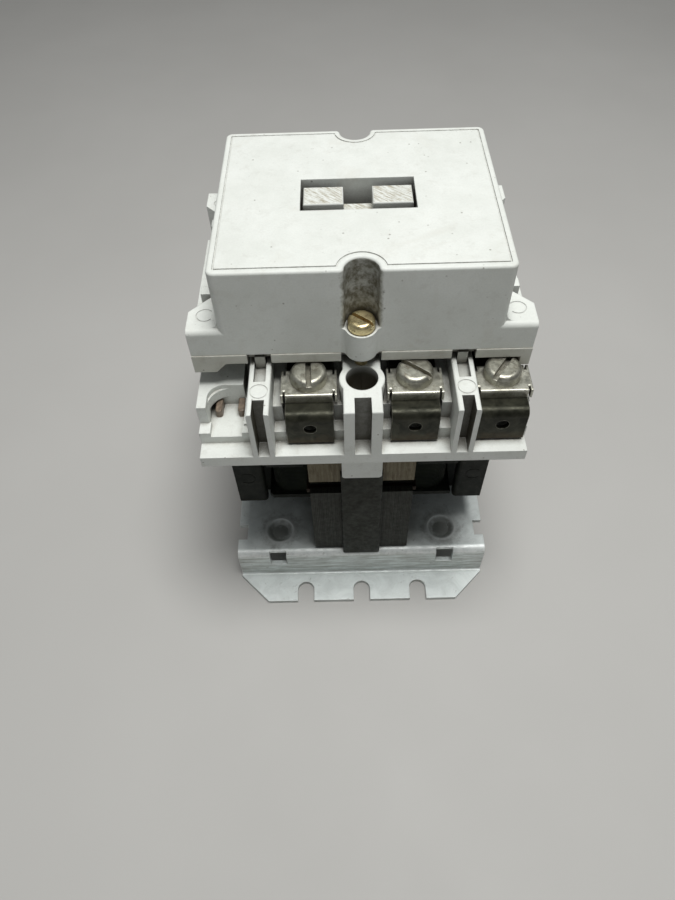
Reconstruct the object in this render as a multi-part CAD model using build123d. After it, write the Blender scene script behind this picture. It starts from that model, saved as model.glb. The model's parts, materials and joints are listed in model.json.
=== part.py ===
from build123d import *
import os

# Three-pole DIN rail contactor in a four-pole case, in millimetres.
# X runs along the rail, -Y is the front with the open fourth pole on its left, +Z is up.
# The origin is the centre of the mounting plane under the base plate.

# ---- driving dimensions ----
WIDTH = 76.0
HALF_W = WIDTH / 2
PLATE_Y = 45.7
SHEET = 1.5
RISER_Y = 35.84
PLATFORM_Z = 13.44
SLOT_PITCH = 17.5
SLOT_R = 2.55
SLOT_CENTRE_Y = 41.95
CORNER_CUT = 8.9
OUTER_BEND = 2.2
INNER_BEND = 0.8
EDGE_NOTCH_X = 35.3
EDGE_NOTCH_Y = (25.2, 30.3)
HOUSING_SCREW_X = 32.0
HOUSING_SCREW_Y = 8.0
DRIVER_HOLE_X = (23.1, 28.3)
DRIVER_HOLE_Z = (6.9, 12.2)
DIMPLE_X = 25.1
DIMPLE_Y = 27.2

RAIL_HALF = 17.5
RAIL_FLANGE_Z = 6.1
LIP = 2.0
HOOK_X = 17.0
HOOK_HALF = 6.0
STOP_HALF = 4.0
LATCH_Z = 9.04
LATCH_HALF = 10.0
GRIP_HALF = 27.3
GRIP_Y = (-30.0, -25.5)
GUIDE_Y = (-16.0, -10.0)
SPRING_STOP_Y = 8.0

STACK_X = 13.9
CORE_Y = 34.03
CORE_BASE_Z = 14.44
YOKE_TOP_Z = 26.0
CORE_TOP_Z = 44.9
CENTRE_LEG_Y = 10.0
OUTER_LEG_Y = 23.8
ARMATURE_Z = 49.9
ARMATURE_ROOT_Z = 56.5
ARMATURE_TOP_Z = 64.5
ARMATURE_Y = 33.7
RIVET_R = 1.5
RIVET_HEAD_R = 2.6
RIVET_HEAD = 0.9
RING_SLOTS_Y = (26.0, 30.8)
RING_W = 1.4
STRAP_X = 5.5
STRAP_Y = 35.7
STRAP_TOP_Z = 55.4

COIL_X = 27.0
COIL_Y = 23.2
COIL_Z = (26.2, 51.0)
FLANGE = 1.6
BOBBIN_WALL = 1.2
BOBBIN_GAP = 0.5
COIL_TAG_X = 20.5
COIL_TAG_Y = 27.5

HOUSING_X = 36.0
HOUSING_Y = 34.0
LEG_Y = 24.0
LEG_X = 27.7
LEG_Z = 26.0
FRAME_Z = 65.2
HOUSING_WALL = 2.0
RING_X = 32.4
RING_Z = 38.0

BASE_Y = 40.9
BASE_Z = 68.5
LEDGE_Z = 71.8
STEP_Y = 36.5
FLOOR_Z = 74.1
PAD_Y = 26.5
PAD_Z = 81.0
BARRIER_Z = 87.0
BARRIER_X = 22.9
BARRIER_HALF = 2.5
LABEL_HALF = 1.35
END_SLOT_Y = 36.6
END_SLOT_HALF = 1.85
END_WALL = 1.4
POST_R = 5.15
POST_BORE_R = 3.65
POST_SEAT_Z = 75.4
ARM_Y = 33.4
ARM_W = 2.2
POST_X = 4.3
POST_Y = 30.8
CHAMBER_Y = 16.0
WALL = 1.5

POLES = {"2": -12.0, "3": 12.0, "4": 31.8}
VACANT_X = -31.8
PRONG_X = (VACANT_X - 2.05, VACANT_X + 3.3)
PRONG_HALF = 0.8
ENDS = {"front": -1, "rear": 1}

STRIP = 1.1
STRIP_W = 10.9
STRIP_LEG_Y = 37.7
STRIP_LEG_Z = 72.3
SHELF_Z = 76.4
SHELF_Y = 9.0
TIP_Y = 11.0
TIP_T = 1.0
TIP_R = 1.9
CLAMP_Y = 28.6
SADDLE_HALF = 6.35

TRAVEL = 5.0
TIP_GAP = TRAVEL + 0.1
BRIDGE_Z = SHELF_Z + 2 * TIP_T + TIP_GAP
BRIDGE_T = 1.4
CROSSBAR_Z = (78.0, 90.2)
CROSSBAR_Y = 4.2
BRIDGE_HALF = 2.9
BRIDGE_Y = 13.6
TOWER_X = 12.0
SHOULDER_Z = 104.0
DECK_Z = 109.0
BOSS_HALF = 4.4
BOSS_Y = 3.25
KEY_HALF = 2.8
KEY_Z = (58.95, 61.55)
HOLDER_X = 17.4
HOLDER_Y = 5.0
HOLDER_Z = (66.0, 68.4)
SPRING_TOP_Z = 89.0
RETURN_X = 21.9

PARTING_Z = 90.47
FRAME_BOTTOM_Z = 88.0
COVER_X = 31.0
COVER_Y = 26.2
COVER_Z = 113.0
COVER_WALL = 1.8
EAR_Z = 97.6
SCREW_Y = 25.6
BOSS_X = 7.6
WELL_R = 3.6
WINDOW_X = 12.6
SWEEP_R = 1.8
WINDOW_Y = (-6.1, 5.6)
SKIRT_Z = 104.5

M3_R = 1.5
M4_R = 2.0

os.makedirs("parts", exist_ok=True)


# ---- small builders ----
def block(xs, ys, zs):
    size = [hi - lo for lo, hi in (xs, ys, zs)]
    middle = [(hi + lo) / 2 for lo, hi in (xs, ys, zs)]
    return Pos(*middle) * Box(*size)


def rod(x, y, zs, r):
    return Pos(x, y, (zs[0] + zs[1]) / 2) * Cylinder(r, zs[1] - zs[0])


def rod_along_x(xs, y, z, r):
    return Pos((xs[0] + xs[1]) / 2, y, z) * Rot(0, 90, 0) * Cylinder(r, xs[1] - xs[0])


def prism(points, zs):
    face = make_face(Polyline(*points, close=True))
    return Pos(0, 0, zs[0]) * extrude(face, zs[1] - zs[0])


def both_ends(shape):
    """The shape and its mirror image across the X-Z plane."""
    return shape + mirror(shape, Plane.XZ)


def both_sides(shape):
    """The shape and its mirror image across the Y-Z plane."""
    return shape + mirror(shape, Plane.YZ)


def four_corners(shape):
    return both_ends(both_sides(shape))


def separate(shapes):
    """A group of solids that stay apart."""
    solids = []
    for shape in shapes:
        solids.extend(shape.solids())
    return Compound(children=solids)


def strip_profile(points, thickness, xs, radius):
    """A folded strip: its section runs through points (y, z) and it spans xs along X."""
    line = FilletPolyline(*[(0, y, z) for y, z in points], radius=radius)
    face = make_face(offset(line, thickness / 2, side=Side.BOTH, closed=True))
    strip = extrude(face, xs[1] - xs[0], dir=(1, 0, 0))
    return Pos(xs[0], 0, 0) * strip


def coil_spring(r, wire, length, turns):
    """A compression spring that stands on z = 0."""
    path = Helix((length - wire) / turns, length - wire, r)
    start = Plane(origin=path @ 0, z_dir=path % 0)
    return Pos(0, 0, wire / 2) * sweep(start * Circle(wire / 2), path, is_frenet=True)


def slotted_screw(head_r, head_z, shank_r, tip_z, angle, slot=1.1):
    """A pan head screw on the Z axis. head_z is (seat, top) and angle turns its slot."""
    head = rod(0, 0, head_z, head_r)
    rim = head.edges().filter_by(GeomType.CIRCLE).sort_by(Axis.Z)[-1]
    head = fillet(rim, 0.38 * (head_z[1] - head_z[0]))
    cut = block((-head_r - 1, head_r + 1), (-slot / 2, slot / 2), (head_z[1] - 1.2, head_z[1] + 1))
    shank = rod(0, 0, (tip_z, head_z[0] + 0.2), shank_r)
    shank = chamfer(shank.edges().sort_by(Axis.Z)[0], 0.4)
    return head + shank - Rot(0, 0, angle) * cut


# ---- mounting plate and rail clip ----
def plate_section():
    """The folded section of the plate as (y, z) points, each with its bend radius."""
    inner_y = RISER_Y - SHEET
    under_z = PLATFORM_Z - SHEET
    rear = [
        (inner_y, under_z, INNER_BEND),
        (inner_y, 0, OUTER_BEND),
        (PLATE_Y, 0, 0),
        (PLATE_Y, SHEET, 0),
        (RISER_Y, SHEET, INNER_BEND),
        (RISER_Y, PLATFORM_Z, OUTER_BEND),
    ]
    return rear + [(-y, z, r) for y, z, r in reversed(rear)]


def base_plate():
    section = plate_section()
    face = make_face(Polyline(*[(0, y, z) for y, z, _ in section], close=True))
    for bend in (OUTER_BEND, INNER_BEND):
        ends = [Vector(0, y, z) for y, z, r in section if r == bend]
        at_bend = [v for v in face.vertices() if min((v.center() - p).length for p in ends) < 0.01]
        face = fillet(at_bend, bend)
    plate = Pos(-HALF_W, 0, 0) * extrude(face, WIDTH, dir=(1, 0, 0))

    cut_x = HALF_W - CORNER_CUT
    cut_y = PLATE_Y - CORNER_CUT
    far_y = PLATE_Y + 0.01
    corner = [(cut_x, far_y), (HALF_W + 1, far_y), (HALF_W + 1, cut_y), (HALF_W, cut_y)]
    plate -= four_corners(prism(corner, (-1, SHEET + 1)))
    slots = Part()
    for x in (-SLOT_PITCH, 0, SLOT_PITCH):
        slots += block((x - SLOT_R, x + SLOT_R), (SLOT_CENTRE_Y, PLATE_Y + 1), (-1, SHEET + 1))
        slots += rod(x, SLOT_CENTRE_Y, (-1, SHEET + 1), SLOT_R)
    plate -= both_ends(slots)
    plate -= four_corners(block((EDGE_NOTCH_X, HALF_W + 1), EDGE_NOTCH_Y, (8, 15)))
    driver_hole = block(DRIVER_HOLE_X, (33, 37), DRIVER_HOLE_Z)
    driver_hole += block(DRIVER_HOLE_X, (34.5, 37), (12, 15))
    plate -= four_corners(driver_hole)
    dimple_at = Pos(DIMPLE_X, DIMPLE_Y, 0)
    bulge = dimple_at * Pos(0, 0, PLATFORM_Z - 1.9) * Cone(2.9, 4.6, 1.3)
    sunk = dimple_at * Pos(0, 0, PLATFORM_Z - 0.59) * Cone(2.5, 4.2, 1.2)
    plate = plate + four_corners(bulge) - four_corners(sunk)
    return plate - four_corners(rod(HOUSING_SCREW_X, HOUSING_SCREW_Y, (10, 15), M4_R + 0.1))


def rail_hook():
    """Two fixed hooks under the platform and the stop of the latch spring."""
    under_z = PLATFORM_Z - SHEET
    leg = (RAIL_HALF + 0.8, RAIL_HALF + 0.8 + SHEET)
    lip_z = (RAIL_FLANGE_Z - SHEET, RAIL_FLANGE_Z)
    weld_z = (under_z - SHEET, under_z)
    pieces = []
    for x in (-HOOK_X, HOOK_X):
        xs = (x - HOOK_HALF, x + HOOK_HALF)
        hook = block(xs, (9.5, leg[1]), weld_z)
        hook += block(xs, leg, (lip_z[0], under_z))
        hook += block(xs, (RAIL_HALF - LIP, leg[1]), lip_z)
        pieces.append(hook)
    stop_x = (-STOP_HALF, STOP_HALF)
    stop = block(stop_x, (SPRING_STOP_Y, SPRING_STOP_Y + SHEET), (6.5, under_z))
    stop += block(stop_x, (SPRING_STOP_Y, 13), weld_z)
    return separate(pieces + [stop])


def latch_guides():
    under_z = PLATFORM_Z - SHEET
    """Two Z-shaped guides that carry the edges of the latch."""
    web_x = (LATCH_HALF + 0.4, LATCH_HALF + 1.9)
    shelf_z = (LATCH_Z - 1.64, LATCH_Z - 0.34)
    guide = block(web_x, GUIDE_Y, (shelf_z[0], under_z))
    guide += block((LATCH_HALF - 1.4, web_x[1]), GUIDE_Y, shelf_z)
    guide += block((web_x[0], web_x[1] + 3.6), GUIDE_Y, (under_z - SHEET, under_z))
    return separate([guide, mirror(guide, Plane.YZ)])


def rail_latch():
    """The sliding latch: a lip under the rail, a grip bar and a nose for its spring."""
    plate_z = (LATCH_Z, LATCH_Z + SHEET)
    leg = (-RAIL_HALF - 0.8 - SHEET, -RAIL_HALF - 0.8)
    lip_z = (RAIL_FLANGE_Z - SHEET, RAIL_FLANGE_Z)
    latch_x = (-LATCH_HALF, LATCH_HALF)
    latch = block(latch_x, (GRIP_Y[0], -6), plate_z)
    latch += block((-GRIP_HALF, GRIP_HALF), GRIP_Y, plate_z)
    latch += block(latch_x, leg, (lip_z[0], plate_z[1]))
    latch += block(latch_x, (leg[0], -RAIL_HALF + LIP), lip_z)
    return latch + block((-1.2, 1.2), (-6.5, -3.5), plate_z)


def latch_spring():
    spring = coil_spring(1.8, 0.5, SPRING_STOP_Y + 6, 9)
    return Pos(0, SPRING_STOP_Y, LATCH_Z + SHEET / 2) * Rot(90, 0, 0) * spring


# ---- magnet ----
def rivet_along_x(y, z):
    """A rivet through the stack with a head sunk flush in each side."""
    pin = rod_along_x((-STACK_X, STACK_X), y, z, RIVET_R)
    return pin + both_sides(rod_along_x((STACK_X - RIVET_HEAD, STACK_X), y, z, RIVET_HEAD_R))


CORE_RIVETS = [(-28.5, 20.5), (28.5, 20.5), (-28.8, 38.0), (28.8, 38.0)]
ARMATURE_RIVETS = [(-28.5, 60.0), (28.5, 60.0)]


def core_pad():
    return block((-13.5, 13.5), (-33, 33), (PLATFORM_Z, CORE_BASE_Z))


def magnet_core():
    core = block((-STACK_X, STACK_X), (-CORE_Y, CORE_Y), (CORE_BASE_Z, CORE_TOP_Z))
    core -= both_ends(block((-20, 20), (CENTRE_LEG_Y, OUTER_LEG_Y), (YOKE_TOP_Z, CORE_TOP_Z + 1)))
    for y, z in CORE_RIVETS:
        core -= rivet_along_x(y, z)
    for y in RING_SLOTS_Y:
        core -= both_ends(block((-20, 20), (y, y + RING_W), (CORE_TOP_Z - 2.4, CORE_TOP_Z + 1)))
    return core


def core_rivets():
    return separate([rivet_along_x(y, z) for y, z in CORE_RIVETS])


def core_guide_straps():
    strap = block((-STRAP_X, STRAP_X), (CORE_Y, STRAP_Y), (PLATFORM_Z, STRAP_TOP_Z))
    strap = fillet(strap.edges().filter_by(Axis.Z).sort_by(Axis.Y)[-2:], 0.6)
    return separate([strap, mirror(strap, Plane.XZ)])


def shading_rings():
    z = (CORE_TOP_Z - 2.2, CORE_TOP_Z - 0.6)
    outer_y = (RING_SLOTS_Y[0] + 0.05, RING_SLOTS_Y[1] + RING_W - 0.05)
    inner_y = (RING_SLOTS_Y[0] + RING_W - 0.05, RING_SLOTS_Y[1] + 0.05)
    ring = block((-STACK_X - 1.0, STACK_X + 1.0), outer_y, z)
    ring -= block((-STACK_X - 0.1, STACK_X + 0.1), inner_y, (z[0] - 1, z[1] + 1))
    return separate([ring, mirror(ring, Plane.XZ)])


def bobbin_tube(gap, zs):
    """A block round the core's middle leg, that far out from its faces."""
    x = STACK_X + gap
    y = CENTRE_LEG_Y + gap
    return block((-x, x), (-y, y), zs)


def coil_bobbin():
    hole = bobbin_tube(BOBBIN_GAP, (0, 80))
    z0, z1 = COIL_Z
    bobbin = block((-COIL_X, COIL_X), (-COIL_Y, COIL_Y), (z0, z0 + FLANGE))
    bobbin += block((-COIL_X, COIL_X), (-COIL_Y, COIL_Y), (z1 - FLANGE, z1))
    bobbin += bobbin_tube(BOBBIN_GAP + BOBBIN_WALL, COIL_Z)
    for x in (-COIL_TAG_X, COIL_TAG_X):
        bobbin += block((x - 4.5, x + 4.5), (COIL_Y - 1, 31), (44, z1))
        bobbin -= rod(x, COIL_TAG_Y, (46, z1 + 1), M3_R)
    bobbin += both_sides(block((16, 27), (-25.2, -COIL_Y + 1), (z1 - 6, z1)))
    bobbin = chamfer(bobbin.edges().filter_by(Axis.Z).group_by(Axis.X)[0], 1.0)
    return bobbin - hole


def coil_winding():
    z = (COIL_Z[0] + FLANGE, COIL_Z[1] - FLANGE)
    turns = block((-COIL_X + 1.2, COIL_X - 1.2), (-COIL_Y + 1.2, COIL_Y - 1.2), z)
    turns = fillet(turns.edges().filter_by(Axis.Z), 5)
    return turns - bobbin_tube(BOBBIN_GAP + BOBBIN_WALL, (0, 80))


def coil_terminals():
    pieces = []
    z = COIL_Z[1]
    for x in (-COIL_TAG_X, COIL_TAG_X):
        tag_x = (x - 3.2, x + 3.2)
        tag = block(tag_x, (24, 33.2), (z, z + 0.8))
        tag += block(tag_x, (32.4, 33.2), (z - 5, z + 0.8))
        pieces.append(tag - rod(x, COIL_TAG_Y, (z - 1, z + 2), M3_R))
    return separate(pieces)


def coil_terminal_screws():
    z = COIL_Z[1] + 0.8
    screw = slotted_screw(2.9, (z, z + 2.1), M3_R, 46.0, 25, 0.9)
    return separate([Pos(x, COIL_TAG_Y, 0) * screw for x in (-COIL_TAG_X, COIL_TAG_X)])


def magnet_housing():
    frame = block((-HOUSING_X, HOUSING_X), (-HOUSING_Y, HOUSING_Y), (FRAME_Z, BASE_Z))
    frame -= block((-20, 20), (-27, 27), (60, 70))
    frame -= four_corners(prism([(20, 35), (37, 35), (37, 27)], (60, 70)))
    wall = block((HOUSING_X - HOUSING_WALL, HOUSING_X), (-LEG_Y, LEG_Y), (LEG_Z, FRAME_Z))
    foot = block((LEG_X, HOUSING_X), (-12, 12), (PLATFORM_Z, LEG_Z + 3))
    corner = block((LEG_X, HOUSING_X), (LEG_Y - 2.5, LEG_Y), (LEG_Z, FRAME_Z))
    corner = fillet(corner.edges().filter_by(Axis.Z).group_by(Axis.Y)[-1].sort_by(Axis.X)[0], 1.2)
    mark = Pos(RING_X, LEG_Y, RING_Z) * Rot(90, 0, 0) * (Cylinder(2.4, 0.3) - Cylinder(2.1, 0.3))
    housing = frame + both_sides(wall) + both_sides(foot) + four_corners(corner - mark)
    housing -= four_corners(rod(HOUSING_SCREW_X, HOUSING_SCREW_Y, (10, 24), M4_R))
    housing -= both_ends(rod(0, POST_Y, (60, 70), M4_R + 0.05))
    return housing


def housing_screws():
    under_z = PLATFORM_Z - SHEET
    screw = slotted_screw(3.8, (-under_z, -under_z + 2.4), M4_R, -22.0, 35)
    screw = Rot(180, 0, 0) * screw
    places = GridLocations(2 * HOUSING_SCREW_X, 2 * HOUSING_SCREW_Y, 2, 2)
    return separate([place * screw for place in places])


# ---- contact base ----
def pad_layer(xs, arm_xs, z, r):
    """One layer of a strip pad at the rear, with its arms, and r in the corners between them."""
    layer = block(xs, (CHAMBER_Y, PAD_Y), z)
    for arm_x in arm_xs:
        layer += block(arm_x, (PAD_Y - 1, ARM_Y), z)
    if r == 0:
        return layer
    upright = layer.edges().filter_by(Axis.Z).filter_by_position(Axis.Y, PAD_Y - 0.1, PAD_Y + 0.1)
    return fillet(upright.filter_by_position(Axis.X, xs[0] + 1, xs[1] - 1), r)


def side_steps(x0, x1):
    y = (ARM_Y - 0.4, STEP_Y)
    z = (FLOOR_Z - 0.5, FLOOR_Z + 1.4)
    return block((x0, x0 + 2.6), y, z) + block((x1 - 2.6, x1), y, z)


def inner_bay():
    """The rear end of a pole bay between the centre post and a barrier."""
    x0 = POST_X
    x1 = BARRIER_X - BARRIER_HALF
    arm_xs = [(x0, x0 + ARM_W), (x1 - ARM_W, x1)]
    bay = pad_layer((x0, x1), arm_xs, (FLOOR_Z - 0.5, PAD_Z), 3.6)
    return bay + side_steps(x0, x1)


def outer_bay():
    """The rear end of a pole bay outside a barrier, with a low rib along the barrier."""
    x0 = BARRIER_X + BARRIER_HALF
    pad_x = (x0 + ARM_W, HALF_W)
    arm_xs = [(HALF_W - ARM_W, HALF_W)]
    bay = pad_layer(pad_x, arm_xs, (FLOOR_Z - 0.5, PAD_Z - 4), 0)
    bay += pad_layer(pad_x, arm_xs, (PAD_Z - 4, PAD_Z - 1.3), 5.0)
    bay += pad_layer(pad_x, arm_xs, (PAD_Z - 1.3, PAD_Z), 3.6)
    bay += block((x0, x0 + ARM_W), (CHAMBER_Y, ARM_Y + 1), (FLOOR_Z - 0.5, FLOOR_Z + 2.1))
    return bay + side_steps(x0, HALF_W)


def end_slot(half):
    """The slot down the end of a wall, open at the top and above a low front lip."""
    slot = block((-half, half), (END_SLOT_Y, BASE_Y - END_WALL), (BASE_Z + 1.5, BARRIER_Z + 1))
    return slot + block((-half, half), (END_SLOT_Y, BASE_Y + 1), (BASE_Z + 2.3, BARRIER_Z + 1))


def barrier():
    """A phase barrier at the rear, centred on x = 0, with its label groove and its end slot."""
    wall = block((-BARRIER_HALF, BARRIER_HALF), (CHAMBER_Y, BASE_Y), (BASE_Z, BARRIER_Z))
    wall = fillet(wall.edges().filter_by(Axis.Y).sort_by(Axis.Z)[-2:], 0.5)
    wall -= block((-LABEL_HALF, LABEL_HALF), (10, 31.2), (BARRIER_Z - 1.8, BARRIER_Z + 1))
    wall -= end_slot(LABEL_HALF)
    ring = rod(0, 34.1, (BARRIER_Z - 0.15, BARRIER_Z + 1), 2.1) - rod(0, 34.1, (80, 90), 1.85)
    return wall - ring


def centre_post():
    """The screw post at the rear, with the neck that reaches under the cover."""
    post = block((-POST_X, POST_X), (CHAMBER_Y, BASE_Y), (BASE_Z, BARRIER_Z))
    post += rod(0, POST_Y, (LEDGE_Z, BARRIER_Z), POST_R)
    top = post.edges().group_by(Axis.Z)[-1]
    post = fillet(top, 0.4)
    return post - end_slot(END_SLOT_HALF)


def vacant_slot():
    """The slot under the vacant bay's floor that takes the insert, with a hole for each prong."""
    y = (PAD_Y, PAD_Y + 1.3)
    reach = PRONG_HALF + 0.1
    slot = block((PRONG_X[0] - reach, PRONG_X[1] + reach), y, (BASE_Z - 1, FLOOR_Z - 0.8))
    for x in PRONG_X:
        slot += block((x - reach, x + reach), y, (FLOOR_Z - 1, FLOOR_Z + 1))
    return both_ends(slot)


def contact_base():
    base = block((-HALF_W, HALF_W), (-BASE_Y, BASE_Y), (BASE_Z, LEDGE_Z))
    base += block((-HALF_W, HALF_W), (-STEP_Y, STEP_Y), (BASE_Z, FLOOR_Z))
    base -= block((-36.5, 36.5), (-CHAMBER_Y, CHAMBER_Y), (LEDGE_Z, 90))
    end_wall = block((36.5, HALF_W), (-18.5, 18.5), (LEDGE_Z, FRAME_BOTTOM_Z - 0.1))
    base += both_sides(end_wall)
    base += four_corners(inner_bay() + outer_bay())
    base += four_corners(Pos(BARRIER_X, 0, 0) * barrier())
    base += both_ends(centre_post())
    chamber_wall = block((-WALL / 2, WALL / 2), (6.5, CHAMBER_Y + 1), (LEDGE_Z - 0.5, BARRIER_Z))
    base += four_corners(Pos(RETURN_X, 0, 0) * chamber_wall)
    base += both_ends(chamber_wall)
    tab = block((-5.1, 5.1), (34.2, 36.5), (55.6, BASE_Z + 1))
    base += both_ends(fillet(tab.edges().filter_by(Axis.Y).group_by(Axis.Z)[0], 1.0))

    base -= block((-10.2, 10.2), (-6, 6), (60, 75))
    base -= both_ends(rod(0, POST_Y, (POST_SEAT_Z, 90), POST_BORE_R))
    base -= both_ends(rod(0, POST_Y, (60, 80), M4_R + 0.1))
    base -= both_ends(rod(0, SCREW_Y, (79, 90), M3_R))
    base -= vacant_slot()
    for x in POLES.values():
        slot_x = (x - 4.9, x + 4.9)
        base -= both_ends(block(slot_x, (PAD_Y - 0.2, 27.8), (60, PAD_Z + 1)))
        base -= both_ends(rod(x, CLAMP_Y, (60, PAD_Z + 1), M4_R + 0.6))
    for x in [VACANT_X, *POLES.values()]:
        groove_x = (x - STRIP_W / 2 - 0.1, x + STRIP_W / 2 + 0.1)
        groove = block(groove_x, (CHAMBER_Y - 1, 18.5), (SHELF_Z - 1.3, 90))
        base -= both_ends(groove)
    for x in (-RETURN_X, RETURN_X):
        base += rod(x, 0, (LEDGE_Z - 0.5, LEDGE_Z + 2), 1.4)
    return base


def base_screws():
    screw = slotted_screw(3.5, (POST_SEAT_Z, POST_SEAT_Z + 2.6), M4_R, 65.4, 60)
    return separate([Pos(0, y, 0) * screw for y in (-POST_Y, POST_Y)])


def vacant_pole_insert():
    """The phenolic fork under the vacant bay, whose prongs stand up through its floor."""
    foot_y = (PAD_Y + 0.1, PAD_Y + 1.2)
    web_z = (FLOOR_Z - 2.4, FLOOR_Z - 0.9)
    fork = block((PRONG_X[0] - PRONG_HALF, PRONG_X[1] + PRONG_HALF), foot_y, web_z)
    for x in PRONG_X:
        prong_x = (x - PRONG_HALF, x + PRONG_HALF)
        prong = block(prong_x, (foot_y[0], 30.6), (FLOOR_Z, FLOOR_Z + 2.2))
        prong = fillet(prong.edges().filter_by(Axis.Z).group_by(Axis.Y)[-1], 0.7)
        prong = fillet(prong.edges().group_by(Axis.Z)[-1].sort_by(Axis.Y)[1:], 0.3)
        fork += prong + block(prong_x, foot_y, (web_z[0], FLOOR_Z + 0.5))
    return separate([mirror(fork, Plane.XZ), fork])


# ---- fixed contacts and clamps ----
def fixed_contact(x, end):
    mid = STRIP / 2
    top = PAD_Z + mid
    points = [
        (STRIP_LEG_Y - mid, STRIP_LEG_Z + mid),
        (STRIP_LEG_Y - mid, top),
        (17.8 - mid - 0.2, top),
        (17.8 - mid - 0.2, SHELF_Z - mid),
        (SHELF_Y, SHELF_Z - mid),
    ]
    xs = (x - STRIP_W / 2, x + STRIP_W / 2)
    strip = strip_profile(points, STRIP, xs, 1.3)
    strip -= rod(x, CLAMP_Y, (PAD_Z - 1, PAD_Z + 3), M4_R)
    strip -= Pos(x, STRIP_LEG_Y, 77.6) * Rot(90, 0, 0) * Cylinder(1.5, 6)
    neck = 3.2
    strip -= block((xs[0] - 1, x - neck), (SHELF_Y - 1, CHAMBER_Y - 1), (70, PAD_Z - 1))
    strip -= block((x + neck, xs[1] + 1), (SHELF_Y - 1, CHAMBER_Y - 1), (70, PAD_Z - 1))
    return strip if end > 0 else mirror(strip, Plane.XZ)


def fixed_contact_tips():
    tips = []
    for x in POLES.values():
        for end in ENDS.values():
            tips.append(rod(x, end * TIP_Y, (SHELF_Z, SHELF_Z + TIP_T), TIP_R))
    return separate(tips)


def saddle_plates():
    """Clamp plates with a lip turned down at both long edges."""
    z0 = PAD_Z + STRIP + 0.1
    z1 = z0 + 2.4
    plate = block((-SADDLE_HALF, SADDLE_HALF), (25.6, 33.6), (z0, z1))
    plate -= block((-7, 7), (26.9, 32.4), (z0 - 1, z1 - 1.2))
    for x in (-SADDLE_HALF + 0.75, SADDLE_HALF - 0.75):
        plate -= block((x - 0.25, x + 0.25), (32.3, 34), (z0 - 1, z1 + 1))
        plate -= block((x - 0.25, x + 0.25), (25, 27), (z0 - 1, z1 + 1))
    plate = fillet(plate.edges().filter_by(Axis.X).group_by(Axis.Z)[-1], 0.5)
    plate -= rod(0, CLAMP_Y, (z0 - 1, z1 + 1), M4_R + 0.1)
    plates = []
    for x in POLES.values():
        plates.append(Pos(x, 0, 0) * plate)
        plates.append(Pos(x, 0, 0) * mirror(plate, Plane.XZ))
    return separate(plates)


def terminal_screws():
    seat = PAD_Z + STRIP + 2.5
    slots = {"2": (92, 20), "3": (-38, 70), "4": (55, 130)}
    screws = []
    for pole, x in POLES.items():
        front, rear = slots[pole]
        screw = slotted_screw(4.15, (seat, seat + 3), M4_R, 76.5, front, 1.2)
        screws.append(Pos(x, -CLAMP_Y, 0) * screw)
        screws.append(Pos(x, CLAMP_Y, 0) * slotted_screw(4.15, (seat, seat + 3), M4_R, 76.5, rear, 1.2))
    return separate(screws)


# ---- moving contact carrier ----
def carrier():
    z0, z1 = CROSSBAR_Z
    bar = block((-36.1, 36.1), (-CROSSBAR_Y, CROSSBAR_Y), CROSSBAR_Z)
    bar = fillet(bar.edges().filter_by(Axis.Z), 0.8)
    for x in [VACANT_X, *POLES.values()]:
        pocket_x = (x - BRIDGE_HALF - 0.3, x + BRIDGE_HALF + 0.3)
        bar -= block(pocket_x, (-10, 10), (BRIDGE_Z - 0.1, SPRING_TOP_Z))
    for x in (-RETURN_X, RETURN_X):
        bar -= rod(x, 0, (z0 - 1, 88.2), 3.1)
    stem = block((-9, 9), (-5, 5), (68.4, z0 + 0.5))
    tower_x = (-TOWER_X, TOWER_X)
    tower = block(tower_x, (-CROSSBAR_Y, CROSSBAR_Y), (z1 - 0.5, SHOULDER_Z))
    tower += block(tower_x, (-BOSS_Y, 1.9), (z1, DECK_Z))
    for x in (-BOSS_X, BOSS_X):
        boss = block((x - BOSS_HALF, x + BOSS_HALF), (-BOSS_Y, BOSS_Y), (z1, COVER_Z - 0.4))
        tower += fillet(boss.edges().group_by(Axis.Z)[-1], 0.4)
    whole = bar + stem + tower
    return whole - rod(0, 0, (60, 76), M3_R)


def key_slot():
    """The slot for the key, 0.05 mm clear of it all round."""
    y = KEY_HALF + 0.05
    return block((-20, 20), (-y, y), (KEY_Z[0] - 0.05, KEY_Z[1] + 0.05))


def armature_holder():
    """The bridge under the carrier stem, with two hooks that hold the armature key."""
    y = (-HOLDER_Y, HOLDER_Y)
    bridge = block((-HOLDER_X, HOLDER_X), y, HOLDER_Z)
    legs = both_sides(block((HOLDER_X - 3, HOLDER_X), y, (KEY_Z[0] - 1.95, HOLDER_Z[0] + 1)))
    return bridge + legs - key_slot() - rod(0, 0, (60, 70), M3_R)


def holder_screw():
    screw = slotted_screw(2.8, (-HOLDER_Z[0], -HOLDER_Z[0] + 1.4), M3_R, -75.6, 0, 0.9)
    return Rot(180, 0, 0) * screw


def armature_cushion():
    pad = block((-13, 13), (-HOLDER_Y, HOLDER_Y), (ARMATURE_TOP_Z, HOLDER_Z[0]))
    return pad - rod(0, 0, (60, 70), 3.2)


def armature():
    plate = block((-STACK_X, STACK_X), (-ARMATURE_Y, ARMATURE_Y), (ARMATURE_Z, ARMATURE_TOP_Z))
    plate -= both_ends(block((-20, 20), (CENTRE_LEG_Y, OUTER_LEG_Y), (ARMATURE_Z - 1, ARMATURE_ROOT_Z)))
    plate -= key_slot()
    for y, z in ARMATURE_RIVETS:
        plate -= rivet_along_x(y, z)
    return plate


def armature_rivets():
    return separate([rivet_along_x(y, z) for y, z in ARMATURE_RIVETS])


def armature_key():
    return block((-HOLDER_X - 1, HOLDER_X + 1), (-KEY_HALF, KEY_HALF), KEY_Z)


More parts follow.
